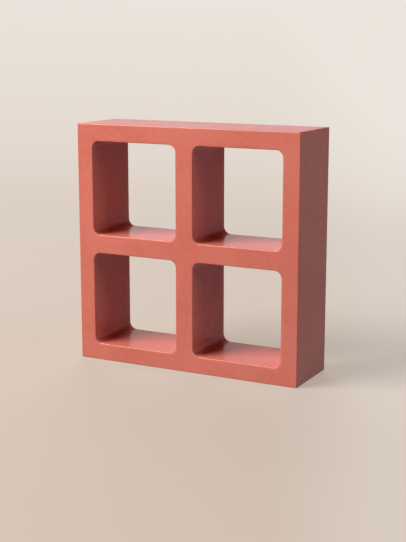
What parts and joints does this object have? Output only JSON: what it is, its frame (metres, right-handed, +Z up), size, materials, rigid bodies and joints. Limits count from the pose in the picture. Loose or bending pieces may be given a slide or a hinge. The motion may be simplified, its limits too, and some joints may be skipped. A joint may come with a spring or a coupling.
{
  "type": "breeze block",
  "caption": "Square pierced screen block, cast in one piece, with rounded square cells that run through it, for walls that let air and light through.",
  "frame": {"origin": "centre of the bed face, the face that the block stands on", "axes": "+X along the pattern face, +Y through the wall from the pattern face to the back face, +Z up from the bed face to the top face"},
  "size_m": [0.29, 0.085, 0.29],
  "materials": {
    "concrete": "satin"
  },
  "bodies": {
    "root": {"breeze_block": "concrete"}
  },
  "joints": []
}
